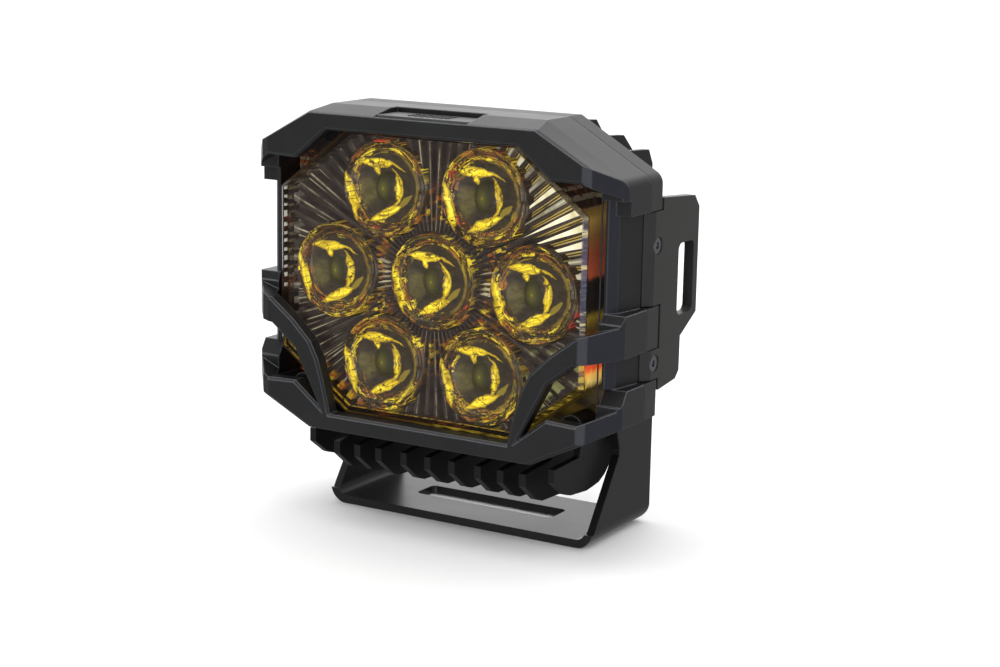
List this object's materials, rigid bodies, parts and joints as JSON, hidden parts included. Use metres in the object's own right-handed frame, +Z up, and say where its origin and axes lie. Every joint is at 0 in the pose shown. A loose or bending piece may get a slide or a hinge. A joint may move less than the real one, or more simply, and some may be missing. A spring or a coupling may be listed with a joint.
{
  "type": "fog light",
  "caption": "Square LED fog light with amber lens, guard, finned housing and side ears, tilting in a U-shaped foot bracket.",
  "frame": {"origin": "under the middle of the lamp's bounding box, on the surface the foot stands on", "axes": "+X across the lamp, -Y the way the beam points, +Z up"},
  "size_m": [0.127, 0.0624, 0.1285],
  "materials": {
    "guard_plastic": "satin black moulding",
    "housing_metal": "fine textured dark grey powder coat",
    "ear_metal": "fine textured dark grey powder coat",
    "bracket_steel": "satin black powder coat",
    "badge": "matt dark grey",
    "lens_amber": "clear amber polycarbonate",
    "reflector": "metallised plastic",
    "optic": "polished faceted optic",
    "led": "phosphor yellow",
    "board": "solder mask",
    "pad": "soft grey",
    "spreader": "rolled",
    "gasket_rubber": "matt",
    "screw_black": "black oxide",
    "screw_steel": "zinc plated",
    "gland_plastic": "nylon"
  },
  "bodies": {
    "foot": {"u_bracket": "bracket_steel"},
    "lamp": {"housing": "housing_metal", "centre_fins": "housing_metal", "side_fins": "housing_metal", "corner_fins": "housing_metal", "front_guard": "guard_plastic", "badge_plate": "badge", "lens": "lens_amber", "lens_gasket": "gasket_rubber", "reflector_plate": "reflector", "led_emitters": "led", "led_board": "board", "thermal_pad": "pad", "heat_spreader": "spreader", "driver_board": "board", "left_ear": "ear_metal", "right_ear": "ear_metal", "ear_screws": "screw_black", "guard_screws": "screw_black", "board_screws": "screw_steel", "pivot_bolts": "screw_black", "pivot_washers": "screw_steel", "spring_washers": "screw_steel", "cable_gland": "gland_plastic", "gland_nut": "gland_plastic", "breather": "gland_plastic", "optic_centre": "optic", "optic_left": "optic", "optic_right": "optic", "optic_top_left": "optic", "optic_top_right": "optic", "optic_bottom_left": "optic", "optic_bottom_right": "optic"}
  },
  "joints": [
    {"name": "tilt", "type": "hinge", "parent": "foot", "child": "lamp", "pos_m": [0, 0.0165, 0.081], "axis": [-1, 0, 0], "range_deg": [-8, 60]}
  ]
}
